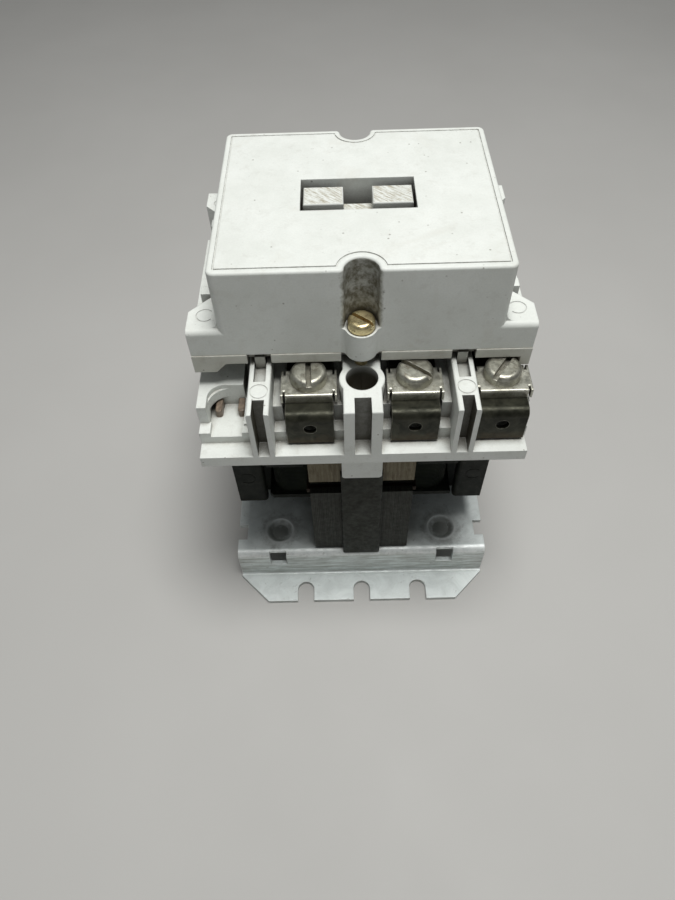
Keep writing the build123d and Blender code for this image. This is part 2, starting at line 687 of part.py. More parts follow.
def contact_bridge(x):
    z = (BRIDGE_Z, BRIDGE_Z + BRIDGE_T)
    bridge = block((x - BRIDGE_HALF, x + BRIDGE_HALF), (-BRIDGE_Y, BRIDGE_Y), z)
    bridge = fillet(bridge.edges().filter_by(Axis.Z), 1.6)
    return bridge + rod(x, 0, (z[1] - 0.2, z[1] + 0.8), 1.3)


def bridge_tips(x):
    z = (BRIDGE_Z - TIP_T, BRIDGE_Z)
    return separate([rod(x, y, z, TIP_R) for y in (-TIP_Y, TIP_Y)])


def contact_spring(x):
    z0 = BRIDGE_Z + BRIDGE_T
    return Pos(x, 0, z0) * coil_spring(2.0, 0.6, SPRING_TOP_Z - z0, 3)


def return_springs():
    spring = coil_spring(2.4, 0.7, 88.2 - LEDGE_Z, 8)
    return separate([Pos(x, 0, LEDGE_Z) * spring for x in (-RETURN_X, RETURN_X)])


# ---- upper frame and cover ----
def mid_frame():
    """The frame between the contact base and the cover, a little proud of the cover at its ends."""
    z = (FRAME_BOTTOM_Z, PARTING_Z)
    end_y = COVER_Y + 0.3
    wall_y = COVER_Y - 1.8
    frame = block((-HALF_W, HALF_W), (-end_y, end_y), z)
    frame -= block((-HALF_W + 1.6, HALF_W - 1.6), (-wall_y, wall_y), (80, 95))
    leg_z = (FRAME_BOTTOM_Z - 2.5, FRAME_BOTTOM_Z)
    leg = block((33, HALF_W), (18.5, end_y), leg_z)
    bevel = Plane.XZ * make_face(Polyline((30.5, leg_z[1]), (33, leg_z[1]), (33, leg_z[0]), close=True))
    leg += Pos(0, end_y, 0) * extrude(bevel, end_y - wall_y)
    frame += four_corners(leg)
    frame -= four_corners(block((31, HALF_W - 1.6), (10, wall_y), (80, 95)))
    frame -= four_corners(block((BARRIER_X - 2.7, BARRIER_X + 2.7), (24, 27), (80, 95)))
    frame -= both_ends(block((-4.5, 4.5), (24, 27), (80, 95)))
    frame -= both_ends(rod(POLES["4"], CLAMP_Y, (80, FRAME_BOTTOM_Z), 4.5))
    frame += both_ends(block((-6, 6), (19.5, wall_y), z))
    rail = block((19.7, 26.1), (19.5, wall_y), z)
    tongue = block((BARRIER_X - 1.15, BARRIER_X + 1.15), (19.5, 25.6), (85.6, 89))
    frame += four_corners(rail + tongue)
    frame += both_ends(block((-WALL / 2, WALL / 2), (6.5, wall_y), z))
    frame += four_corners(Pos(RETURN_X, 0, 0) * block((-WALL / 2, WALL / 2), (6.5, 20), z))
    return frame - both_ends(rod(0, SCREW_Y, (80, 95), M3_R + 0.3))


def cover_ear():
    """The corner foot at +X +Y: chamfered plan, rolled front edge and a sweep up to the wall."""
    outline = [(28, COVER_Y), (HALF_W, COVER_Y), (HALF_W, 19.7), (COVER_X, 12.7), (28, 12.7)]
    ear = prism(outline, (PARTING_Z, EAR_Z))
    top = ear.edges().group_by(Axis.Z)[-1]
    front = [e for e in top if abs(e.center().Y - COVER_Y) < 0.1]
    ear = fillet(front, 1.2)
    ring = rod(34.2, 20.9, (EAR_Z - 0.15, EAR_Z + 1), 2.0)
    ring -= rod(34.2, 20.9, (EAR_Z - 1, EAR_Z + 1), 1.75)
    sweep = block((COVER_X - 1, COVER_X + SWEEP_R), (13.2, COVER_Y - 1.2), (EAR_Z - 1, EAR_Z + SWEEP_R))
    hollow = Pos(COVER_X + SWEEP_R, 19, EAR_Z + SWEEP_R) * Rot(90, 0, 0) * Cylinder(SWEEP_R, 20)
    return ear - ring + (sweep - hollow)


def cover_plan(well):
    """The cover's plan with rounded corners and, at each end, its screw well or its screw boss."""
    plan = RectangleRounded(2 * COVER_X, 2 * COVER_Y, 1.6)
    for y in (-SCREW_Y, SCREW_Y):
        circle = Pos(0, y) * Circle(WELL_R)
        plan = plan - circle if well else plan + circle
    mouth = [v for v in plan.vertices() if abs(v.X) < WELL_R + 0.1]
    return fillet(mouth, 1.0 if well else 1.4)


def cover():
    body = Pos(0, 0, PARTING_Z) * extrude(cover_plan(well=False), EAR_Z - PARTING_Z)
    upper = Pos(0, 0, EAR_Z) * extrude(cover_plan(well=True), COVER_Z - EAR_Z)
    body += fillet(upper.edges().group_by(Axis.Z)[-1], 0.6)
    body += four_corners(cover_ear())
    body += both_sides(block((COVER_X - 1, HALF_W), (-13.5, 13.5), (PARTING_Z, PARTING_Z + 1.5)))
    body += four_corners(block((COVER_X - 1, 35.9), (11.2, 13.9), (PARTING_Z + 1, EAR_Z)))
    body += both_sides(block((COVER_X - 1, 35.0), (-5.8, -4.6), (PARTING_Z + 1, 98)))
    inner_x = COVER_X - COVER_WALL
    inner_y = COVER_Y - COVER_WALL
    hollow = block((-inner_x, inner_x), (-inner_y, inner_y), (80, COVER_Z - 2))
    hollow -= both_ends(rod(0, SCREW_Y, (PARTING_Z, COVER_Z), WELL_R + COVER_WALL))
    body -= hollow
    body -= both_ends(rod(0, SCREW_Y, (80, 110), M3_R + 0.2))
    body -= both_ends(rod(0, SCREW_Y, (EAR_Z - 0.2, 110), 3.15))
    skirt_x = WINDOW_X + WALL
    skirt_y = (WINDOW_Y[0] - WALL, WINDOW_Y[1] + WALL)
    body += block((-skirt_x, skirt_x), skirt_y, (SKIRT_Z, COVER_Z - 1))
    body -= block((-WINDOW_X, WINDOW_X), WINDOW_Y, (100, 120))
    plan = cover_plan(well=True)
    line = offset(plan, -1.3) - offset(plan, -1.65)
    return body - Pos(0, 0, COVER_Z - 0.25) * extrude(line, 1)


def cover_screws():
    screw = slotted_screw(3.0, (EAR_Z - 0.2, 100.0), M3_R, 80.0, -38, 0.9)
    return separate([Pos(0, -SCREW_Y, 0) * screw, Pos(0, SCREW_Y, 0) * screw])


# ---- all sub-parts ----
NODES = {
    "base_plate": base_plate(),
    "rail_hook": rail_hook(),
    "latch_guides": latch_guides(),
    "rail_latch": rail_latch(),
    "latch_spring": latch_spring(),
    "core_pad": core_pad(),
    "magnet_core": magnet_core(),
    "core_rivets": core_rivets(),
    "core_guide_straps": core_guide_straps(),
    "shading_rings": shading_rings(),
    "coil_bobbin": coil_bobbin(),
    "coil_winding": coil_winding(),
    "coil_terminals": coil_terminals(),
    "coil_terminal_screws": coil_terminal_screws(),
    "magnet_housing": magnet_housing(),
    "housing_screws": housing_screws(),
    "contact_base": contact_base(),
    "base_screws": base_screws(),
    "vacant_pole_insert": vacant_pole_insert(),
    "fixed_contact_tips": fixed_contact_tips(),
    "saddle_plates": saddle_plates(),
    "terminal_screws": terminal_screws(),
    "carrier": carrier(),
    "armature_holder": armature_holder(),
    "holder_screw": holder_screw(),
    "armature_cushion": armature_cushion(),
    "armature": armature(),
    "armature_rivets": armature_rivets(),
    "armature_key": armature_key(),
    "return_springs": return_springs(),
    "mid_frame": mid_frame(),
    "cover": cover(),
    "cover_screws": cover_screws(),
}
for pole, pole_x in POLES.items():
    for end_name, end_sign in ENDS.items():
        NODES[f"fixed_contact_{pole}_{end_name}"] = fixed_contact(pole_x, end_sign)
    NODES[f"contact_bridge_{pole}"] = contact_bridge(pole_x)
    NODES[f"bridge_tips_{pole}"] = bridge_tips(pole_x)
    NODES[f"contact_spring_{pole}"] = contact_spring(pole_x)

for node, shape in NODES.items():
    export_step(shape, f"parts/{node}.step")
    print(f"{node}: {len(shape.solids())} solids")
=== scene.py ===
import json
import math

import bpy
from mathutils import Matrix, Vector


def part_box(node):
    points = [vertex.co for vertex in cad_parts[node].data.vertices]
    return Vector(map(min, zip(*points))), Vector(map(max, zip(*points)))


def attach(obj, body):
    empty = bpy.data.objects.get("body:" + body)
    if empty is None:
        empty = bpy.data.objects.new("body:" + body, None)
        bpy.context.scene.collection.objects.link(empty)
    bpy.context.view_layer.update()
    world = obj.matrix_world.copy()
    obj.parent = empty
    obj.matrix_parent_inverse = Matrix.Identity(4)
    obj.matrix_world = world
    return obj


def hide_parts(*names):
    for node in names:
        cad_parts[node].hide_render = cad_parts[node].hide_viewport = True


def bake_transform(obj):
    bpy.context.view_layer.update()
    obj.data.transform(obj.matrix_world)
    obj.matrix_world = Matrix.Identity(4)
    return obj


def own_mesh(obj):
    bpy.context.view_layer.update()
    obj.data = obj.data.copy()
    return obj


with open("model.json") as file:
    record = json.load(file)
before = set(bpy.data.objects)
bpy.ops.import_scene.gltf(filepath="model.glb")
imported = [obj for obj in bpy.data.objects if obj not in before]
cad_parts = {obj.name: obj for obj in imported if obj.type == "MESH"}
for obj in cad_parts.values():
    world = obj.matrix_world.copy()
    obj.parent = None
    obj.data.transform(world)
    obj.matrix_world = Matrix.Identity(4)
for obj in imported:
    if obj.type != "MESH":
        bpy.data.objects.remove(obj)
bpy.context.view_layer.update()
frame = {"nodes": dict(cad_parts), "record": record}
NODES = frame["nodes"]
MM = 0.001

# ---- the photograph's viewpoint, in metres and radians ----
CAMERA_AT = (-0.00404, -0.13219, 0.19818)
CAMERA_YAW = 0.0202
CAMERA_TILT = math.pi / 2 - 0.9374
CAMERA_ROLL = -0.0402
LENS = 26.88
SENSOR = 36.0

# ---- places on the parts where dirt, wear, painted shade and painted highlights are put, in millimetres ----
FOLD_Y = 35.13
PLATFORM_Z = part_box("base_plate")[1].z / MM
DIMPLE_X = 25.1
DIMPLE_Y = 27.2
DIMPLE_R = 4.2

BASE_END_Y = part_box("contact_base")[1].y / MM
BARRIER_X = 22.9
BARRIER_SLOT_HALF = 1.38
POST_SLOT_HALF = 1.88
END_SLOT_Y = 36.6
END_SLOT_FLOOR_Z = 70.8
POST_Y = 30.8
POST_BORE_R = 3.65
POST_TOP_Z = 87.0

SCREW_HEAD_R = 3.0
WELL_R = 3.6
WELL_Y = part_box("cover_screws")[1].y / MM - SCREW_HEAD_R
SCREW_HEAD_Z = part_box("cover_screws")[1].z / MM
STRIP_LEG_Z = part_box("fixed_contact_2_front")[0].z / MM

# ---- colours that several materials share ----
PALE = (0.775, 0.80, 0.77)
PALE_DARK = (0.715, 0.74, 0.705)
# Brown grime, also used for the painted shade in the corners of the plastics.
GRIME_AND_SHADE = (0.25, 0.215, 0.155)
DEEP_BROWN = (0.055, 0.045, 0.025)
# Dark brown for the end slots of the contact base: part dirt, part painted shade.
SLOT_BROWN = (0.05, 0.042, 0.022)
# Oil colour, also used for painted shade on the plate under the magnet.
OIL_AND_SHADE = (0.12, 0.12, 0.10)


def shade(colour, factor, lift=0.0):
    """The colour times a factor, plus a lift, and at most white."""
    return [min(1.0, factor * part + lift) for part in colour]


# ---- a material's node tree ----
class Tree:
    """One material. Its coordinates are the object's own, in millimetres."""

    def __init__(self, name, metallic=0.0, specular=0.5):
        self.material = bpy.data.materials.new(name)
        self.material.use_nodes = True
        self.nodes = self.material.node_tree.nodes
        self.links = self.material.node_tree.links
        self.shader = self.nodes["Principled BSDF"]
        self.shader.inputs["Metallic"].default_value = metallic
        self.shader.inputs["Specular IOR Level"].default_value = specular
        place = self.nodes.new("ShaderNodeTexCoord").outputs["Object"]
        self.mm = self.vector("SCALE", place, scale=1 / MM)

    def put(self, value, socket):
        """Links an output to the socket, or sets the socket to a plain number or colour."""
        if isinstance(value, bpy.types.NodeSocket):
            self.links.new(value, socket)
        elif hasattr(value, "__len__") and len(value) == 3 and socket.type == "RGBA":
            socket.default_value = (*value, 1.0)
        else:
            socket.default_value = value

    # -- arithmetic --
    def vector(self, operation, a, b=None, scale=None):
        """A vector operation. DOT_PRODUCT gives a number, and the others used here a vector."""
        node = self.nodes.new("ShaderNodeVectorMath")
        node.operation = operation
        self.put(a, node.inputs[0])
        if b is not None:
            self.put(b, node.inputs[1])
        if scale is not None:
            self.put(scale, node.inputs["Scale"])
        return node.outputs["Value" if operation == "DOT_PRODUCT" else "Vector"]

    def math(self, operation, a, b=0.0):
        node = self.nodes.new("ShaderNodeMath")
        node.operation = operation
        self.put(a, node.inputs[0])
        self.put(b, node.inputs[1])
        return node.outputs[0]

    def times(self, first, *others):
        """The product of two or more values."""
        product = first
        for other in others:
            product = self.math("MULTIPLY", product, other)
        return product

    def apart(self, a, b):
        """The size of the difference between two values."""
        return self.math("ABSOLUTE", self.math("SUBTRACT", a, b))

    def distance(self, a, b):
        """The length of a line that goes a one way and b square to it."""
        squares = self.math("ADD", self.math("POWER", a, 2.0), self.math("POWER", b, 2.0))
        return self.math("SQRT", squares)

    def span(self, value, low, high, least=0.0, most=1.0):
        """The value as it goes from low to high, clamped and mapped to least and most."""
        node = self.nodes.new("ShaderNodeMapRange")
        self.put(value, node.inputs["Value"])
        ends = {"From Min": low, "From Max": high, "To Min": least, "To Max": most}
        for socket, number in ends.items():
            node.inputs[socket].default_value = number
        return node.outputs["Result"]

    def blend(self, amount, a, b):
        """The colour a where amount is 0, and the colour b where it is 1."""
        node = self.nodes.new("ShaderNodeMix")
        node.data_type = "RGBA"
        self.put(amount, node.inputs["Factor"])
        self.put(a, node.inputs[6])
        self.put(b, node.inputs[7])
        return node.outputs[2]

    # -- places and patterns --
    def axes(self, vector=None):
        """The X, Y and Z of a vector, or of the place in millimetres."""
        node = self.nodes.new("ShaderNodeSeparateXYZ")
        self.put(self.mm if vector is None else vector, node.inputs[0])
        return node.outputs

    def normal(self):
        return self.nodes.new("ShaderNodeNewGeometry").outputs["Normal"]

    def facing(self, axis):
        """The size of the surface normal's part along an axis, 0 to 1."""
        return self.math("ABSOLUTE", self.axes(self.normal())[axis])

    def stretched(self, stretch):
        """The coordinates stretched along each axis, for marks that run one way."""
        return self.vector("MULTIPLY", self.mm, stretch)

    def turned(self, degrees, stretch):
        """The coordinates turned about Z and then stretched."""
        node = self.nodes.new("ShaderNodeMapping")
        node.inputs["Rotation"].default_value = (0, 0, math.radians(degrees))
        self.put(self.mm, node.inputs["Vector"])
        return self.vector("MULTIPLY", node.outputs[0], stretch)

    def noise(self, per_mm, detail=3.0, rough=0.55, at=None, warp=0.0):
        node = self.nodes.new("ShaderNodeTexNoise")
        self.put(self.mm if at is None else at, node.inputs["Vector"])
        node.inputs["Scale"].default_value = per_mm
        node.inputs["Detail"].default_value = detail
        node.inputs["Roughness"].default_value = rough
        node.inputs["Distortion"].default_value = warp
        return node.outputs["Fac"]

    def patches(self, per_mm, low, high, least=0.0, most=1.0, **noise):
        """Cloudy patches: noise that goes from least to most as it passes from low to high."""
        return self.span(self.noise(per_mm, **noise), low, high, least, most)

    def cells(self, per_mm, output="Distance"):
        node = self.nodes.new("ShaderNodeTexVoronoi")
        self.put(self.mm, node.inputs["Vector"])
        node.inputs["Scale"].default_value = per_mm
        return node.outputs[output]

    # -- edges, corners and relief --
    def rounded_normal(self, radius):
        """The surface normal as it is if every edge has that radius, in millimetres."""
        bevel = self.nodes.new("ShaderNodeBevel")
        bevel.samples = 6
        bevel.inputs["Radius"].default_value = radius * MM
        return bevel.outputs[0]

    def edges(self, radius):
        """How much a point lies on an edge of that radius, 0 to 1."""
        turn = self.vector("DOT_PRODUCT", self.rounded_normal(radius), self.normal())
        return self.span(turn, 0.97, 0.80)

    def worn_edges(self, radius, per_mm, low, high, least, most):
        """Edges of that radius where patches of wear have rubbed them."""
        return self.times(self.edges(radius), self.patches(per_mm, low, high, least, most))

    def corners(self, reach, open_sky=0.85, shut_in=0.25):
        """How deep a point lies in a corner or gap, 0 to 1, looking that many millimetres around."""
        node = self.nodes.new("ShaderNodeAmbientOcclusion")
        node.samples = 8
        node.inputs["Distance"].default_value = reach * MM
        return self.span(node.outputs["AO"], open_sky, shut_in)

    def relief(self, height, depth, edge=0.0):
        """A bump of that depth in millimetres, over edges rounded by that radius."""
        bump = self.nodes.new("ShaderNodeBump")
        bump.inputs["Distance"].default_value = depth * MM
        self.put(height, bump.inputs["Height"])
        if edge:
            self.links.new(self.rounded_normal(edge), bump.inputs["Normal"])
        self.links.new(bump.outputs[0], self.shader.inputs["Normal"])

    def finish(self, colour, smoothest, roughest, per_mm=0.8, detail=3.0):
        """Sets the colour, and a roughness that wanders between two ends. Returns the material."""
        self.put(colour, self.shader.inputs["Base Color"])
        roughness = self.patches(per_mm, 0.3, 0.7, smoothest, roughest, detail=detail)
        self.put(roughness, self.shader.inputs["Roughness"])
        return self.material


# ---- plastics ----
def moulded(name, light, dark, grime_and_shade, dirt_and_shade_amount):
    """Moulded plastic with a cloudy tone, fine grain, specks, rubbed edges, and corners darkened by
    dirt and painted shade.

    Returns the tree and its colour, which moulded_finish takes."""
    tree = Tree(name, specular=0.35)
    cloud = tree.patches(0.10, 0.35, 0.65, detail=5, rough=0.6)
    colour = tree.blend(cloud, dark, light)
    grain = tree.patches(2.4, 0.40, 0.62, 0.0, 0.16, rough=0.7)
    colour = tree.blend(grain, colour, shade(light, 0.72))
    dots = tree.span(tree.cells(0.5), 0.14, 0.07)
    chosen = tree.patches(0.3, 0.52, 0.60, 0.0, 0.6, detail=2)
    colour = tree.blend(tree.times(dots, chosen), colour, shade(grime_and_shade, 0.5))
    smudge = tree.patches(0.35, 0.54, 0.78, 0.0, 0.30 * dirt_and_shade_amount, detail=4, rough=0.7)
    colour = tree.blend(smudge, colour, grime_and_shade)
    patchy = tree.patches(0.5, 0.25, 0.7, 0.2, 1.0, detail=4)
    # Corners darkened by ambient occlusion: part dirt, part painted shade.
    corner_dirt_and_shade = tree.times(tree.corners(2.5), patchy, dirt_and_shade_amount)
    colour = tree.blend(corner_dirt_and_shade, colour, grime_and_shade)
    # Deep recesses darkened nearly to black-brown: part dirt, part painted shade.
    deep_dirt_and_shade = tree.times(tree.corners(9.0, open_sky=0.42, shut_in=0.10), 0.9)
    colour = tree.blend(deep_dirt_and_shade, colour, shade(grime_and_shade, 0.22))
    rub = tree.worn_edges(0.35, 0.8, 0.35, 0.6, 0.1, 0.7)
    tree.relief(tree.noise(5.0, detail=4, rough=0.7), 0.035, edge=0.3)
    return tree, tree.blend(rub, colour, shade(light, 1.15, lift=0.04))


def moulded_finish(tree, colour):
    return tree.finish(colour, 0.40, 0.60, per_mm=0.4, detail=4)


def scratched_plastic():
    """The carrier's plastic, scratched on the faces that look up."""
    tree, colour = moulded("scratched_plastic", PALE, PALE_DARK, GRIME_AND_SHADE, 0.6)
    across = tree.turned(40, (0.25, 3.2, 1.0))
    scratches = tree.patches(1.4, 0.48, 0.58, detail=4, rough=0.8, at=across)
    upward = tree.span(tree.facing(2), 0.8, 0.95, 0.0, 0.85)
    return moulded_finish(tree, tree.blend(tree.times(scratches, upward), colour, (0.33, 0.29, 0.20)))


def cover_plastic():
    """The cover's plastic, with dark brown on the upright walls of its screw wells, above the screw
    seats.
    """
    tree, colour = moulded("cover_plastic", PALE, PALE_DARK, GRIME_AND_SHADE, 0.5)
    x, y, z = tree.axes()
    from_screw = tree.distance(x, tree.math("SUBTRACT", tree.math("ABSOLUTE", y), WELL_Y))
    wobble = tree.patches(0.7, 0.3, 0.7, -0.5, 0.5, detail=4, rough=0.7)
    in_well = tree.span(tree.math("ADD", from_screw, wobble), WELL_R + 1.0, WELL_R - 0.2)
    upright = tree.span(tree.facing(2), 0.5, 0.1)
    above_seat = tree.span(z, SCREW_HEAD_Z - 2.4, SCREW_HEAD_Z - 1.8)
    patch = tree.patches(0.45, 0.30, 0.55, 0.55, 0.95, detail=5, rough=0.7)
    # Dark brown on the upright walls of the screw wells, above the screw seats.
    stain = tree.times(in_well, upright, above_seat, patch)
    colour = tree.blend(stain, colour, (0.10, 0.09, 0.055))
    smear = tree.patches(0.07, 0.56, 0.74, 0.0, 0.18, detail=4, rough=0.6, warp=1.5)
    return moulded_finish(tree, tree.blend(smear, colour, (0.47, 0.43, 0.35)))


def base_plastic():
    """The contact base's plastic, with dark dirt and painted shade in the end slots of its walls, and
    dark brown in its post bores that grows darker towards the bottom.
    """
    soft = 0.12
    tree, colour = moulded("base_plastic", PALE, PALE_DARK, GRIME_AND_SHADE, 0.75)
    x, y, z = tree.axes()
    from_middle = tree.math("ABSOLUTE", x)
    out = tree.math("ABSOLUTE", y)

    in_post_slot = tree.span(from_middle, POST_SLOT_HALF + soft, POST_SLOT_HALF)
    from_barrier = tree.apart(from_middle, BARRIER_X)
    in_barrier_slot = tree.span(from_barrier, BARRIER_SLOT_HALF + soft, BARRIER_SLOT_HALF)
    in_slot = tree.math("MAXIMUM", in_post_slot, in_barrier_slot)
    past_start = tree.span(out, END_SLOT_Y - 0.15, END_SLOT_Y + 0.05)
    inside_end = tree.span(out, BASE_END_Y - 0.05, BASE_END_Y - 0.15)
    raised = tree.span(z, END_SLOT_FLOOR_Z - 0.6, END_SLOT_FLOOR_Z + 0.6)
    upright = tree.span(tree.facing(2), 0.5, 0.2)
    patch = tree.patches(0.6, 0.3, 0.6, 0.75, 0.97, detail=5, rough=0.7)
    # The end slots go dark brown: part packed dirt, part painted shade of the deep slots.
    slot_dirt_and_shade = tree.times(in_slot, past_start, inside_end, raised, upright, patch)
    colour = tree.blend(slot_dirt_and_shade, colour, SLOT_BROWN)

    from_screw = tree.distance(x, tree.math("SUBTRACT", out, POST_Y))
    in_bore = tree.span(from_screw, POST_BORE_R + 0.25, POST_BORE_R + 0.05)
    darker_down = tree.span(z, POST_TOP_Z - 0.2, POST_TOP_Z - 2.5, 0.2, 0.9)
    return moulded_finish(tree, tree.blend(tree.times(in_bore, darker_down), colour, DEEP_BROWN))


def aged_plastic():
    """The mid frame's plastic, a little browner and dirtier than the rest, with more painted shade in
    its corners.
    """
    light = (0.68, 0.69, 0.64)
    dark = (0.54, 0.54, 0.48)
    return moulded_finish(*moulded("aged_plastic", light, dark, (0.16, 0.13, 0.09), 0.8))


def black_plastic():
    """Matte black moulding with a greenish cast and a little grey dust."""
    tree = Tree("black_plastic", specular=0.18)
    cloud = tree.patches(0.15, 0.35, 0.65, detail=5, rough=0.6)
    colour = tree.blend(cloud, (0.006, 0.008, 0.006), (0.014, 0.017, 0.013))
    dust = tree.patches(0.5, 0.52, 0.75, 0.0, 0.5, detail=5, rough=0.7)
    colour = tree.blend(dust, colour, (0.05, 0.05, 0.038))
    colour = tree.blend(tree.times(tree.edges(0.3), 0.5), colour, (0.05, 0.053, 0.045))
    tree.relief(tree.noise(4.0, detail=4, rough=0.7), 0.03, edge=0.3)
    return tree.finish(colour, 0.5, 0.7, per_mm=0.4, detail=4)


def wound_tape():
    """Varnished tape over the coil, with the round of each turn of wire showing through."""
    tree = Tree("wound_tape", specular=0.1)
    cloud = tree.patches(0.3, 0.35, 0.65, detail=4)
    colour = tree.blend(cloud, (0.004, 0.006, 0.004), (0.014, 0.018, 0.011))
    sway = tree.patches(0.1, 0, 1, -0.3, 0.3, detail=2)
    turns = tree.math("PINGPONG", tree.math("ADD", tree.axes()[2], sway), 0.35)
    tree.relief(turns, 0.25)
    return tree.finish(colour, 0.60, 0.80, per_mm=0.6)


def rubber():
    """Dark grey rubber with a fine dull grain."""
    tree = Tree("rubber", specular=0.3)
    cloud = tree.patches(0.4, 0.3, 0.7, detail=4)
    colour = tree.blend(cloud, (0.018, 0.018, 0.018), (0.05, 0.048, 0.045))
    tree.relief(tree.noise(3.0, detail=4, rough=0.7), 0.04, edge=0.3)
    return tree.finish(colour, 0.7, 0.9)


def phenolic():
    """Brown phenolic resin with a mottled filler and a glossy skin."""
    tree = Tree("phenolic", specular=0.5)
    mottle = tree.patches(0.9, 0.35, 0.65, detail=5, rough=0.7)
    colour = tree.blend(mottle, (0.10, 0.075, 0.055), (0.26, 0.20, 0.15))
    colour = tree.blend(tree.times(tree.edges(0.4), 0.6), colour, (0.42, 0.36, 0.29))
    tree.relief(tree.noise(4.0, detail=4, rough=0.7), 0.04, edge=0.3)
    return tree.finish(colour, 0.30, 0.50)


# ---- metals ----
def brushed_metal(name, light, dark, stain, rough, edge=0.25):
    """Plated or bare metal with a cloudy plating, fine scratches, tarnish and bright worn edges."""
    tree = Tree(name, metallic=0.9)
    cloud = tree.patches(0.25, 0.35, 0.65, detail=5, rough=0.65, warp=0.6)
    colour = tree.blend(cloud, dark, light)
    tarnish = tree.patches(0.55, 0.50, 0.72, 0.0, 0.8, detail=5, rough=0.7)
    gap = tree.times(tree.corners(1.5), 0.7)
    colour = tree.blend(tree.math("MAXIMUM", tarnish, gap), colour, stain)
    worn = tree.worn_edges(edge, 1.2, 0.3, 0.55, 0.2, 0.9)
    colour = tree.blend(worn, colour, shade(light, 1.35))
    lines = tree.noise(3.0, rough=0.6, at=tree.turned(35, (0.35, 3.0, 1.0)))
    colour = tree.blend(tree.span(lines, 0.52, 0.62, 0.0, 0.35), colour, stain)
    tree.relief(lines, 0.03, edge=edge)
    return tree.finish(colour, rough - 0.1, rough + 0.14, detail=5)


def zinc_steel():
    light = (0.56, 0.61, 0.66)
    return brushed_metal("zinc_steel", light, (0.36, 0.40, 0.45), (0.13, 0.11, 0.09), 0.38)


def screw_steel():
    light = (0.58, 0.58, 0.51)
    return brushed_metal("screw_steel", light, (0.36, 0.355, 0.30), (0.15, 0.12, 0.08), 0.38)


def plated_clamp():
    light = (0.64, 0.64, 0.57)
    return brushed_metal("plated_clamp", light, (0.44, 0.44, 0.38), (0.20, 0.18, 0.13), 0.38)


def yellow_zinc():
    light = (0.82, 0.72, 0.42)
    return brushed_metal("yellow_zinc", light, (0.62, 0.52, 0.30), (0.35, 0.24, 0.12), 0.30)


def spring_steel():
    light = (0.62, 0.61, 0.58)
    stain = (0.18, 0.14, 0.10)
    return brushed_metal("spring_steel", light, (0.42, 0.41, 0.38), stain, 0.28, edge=0.1)


def silver():
    light = (0.86, 0.85, 0.81)
    return brushed_metal("silver", light, (0.62, 0.60, 0.56), (0.22, 0.20, 0.18), 0.32)


def dark_copper():
    """Copper coloured nearly black, so that the ring ends show no lighter than the dark core around
    them.
    """
    light = (0.045, 0.030, 0.020)
    return brushed_metal("dark_copper", light, (0.025, 0.018, 0.013), (0.015, 0.012, 0.009), 0.55)


def strap_steel():
    """The dark oxidised steel of the straps at the ends of the core."""
    light = (0.030, 0.032, 0.026)
    return brushed_metal("strap_steel", light, (0.018, 0.020, 0.016), (0.011, 0.010, 0.007), 0.5)


